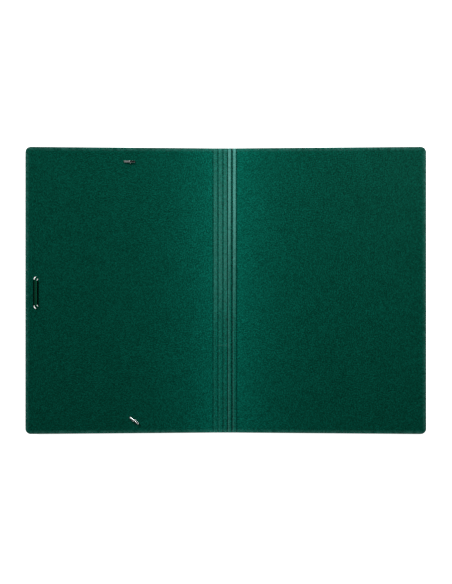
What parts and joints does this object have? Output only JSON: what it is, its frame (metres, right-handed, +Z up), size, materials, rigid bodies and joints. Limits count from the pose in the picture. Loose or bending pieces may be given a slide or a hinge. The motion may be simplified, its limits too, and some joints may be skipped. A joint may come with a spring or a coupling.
{
  "type": "plan folder",
  "caption": "Open pressboard folder with a creased expanding spine, two covers and a corner elastic held in the left cover by metal bars.",
  "frame": {"origin": "on the table, under the middle of the open folder", "axes": "+X from the left cover to the right cover, +Y to the top edge, +Z up, out of the folder's inside"},
  "size_m": [0.4812, 0.345, 0.0162],
  "materials": {
    "pressboard": "satin",
    "elastic": "matte",
    "plated_steel": "gloss"
  },
  "bodies": {
    "spine": {"spine": "pressboard"},
    "left_cover": {"left_cover": "pressboard", "elastic_cord": "elastic", "top_toggle_bar": "plated_steel", "bottom_toggle_bar": "plated_steel"},
    "right_cover": {"right_cover": "pressboard"}
  },
  "joints": [
    {"name": "left_cover_fold", "type": "hinge", "parent": "spine", "child": "left_cover", "pos_m": [-0.0154, 0, 0.00095], "axis": [0, 1, 0], "range_deg": [-3.2, 86.8], "stiffness_Nm_per_rad": 0.19, "springref_deg": 20.8},
    {"name": "right_cover_fold", "type": "hinge", "parent": "spine", "child": "right_cover", "pos_m": [0.0134, 0, 0.00095], "axis": [0, -1, 0], "range_deg": [-3.2, 86.8], "stiffness_Nm_per_rad": 0.19, "springref_deg": 19.65}
  ]
}
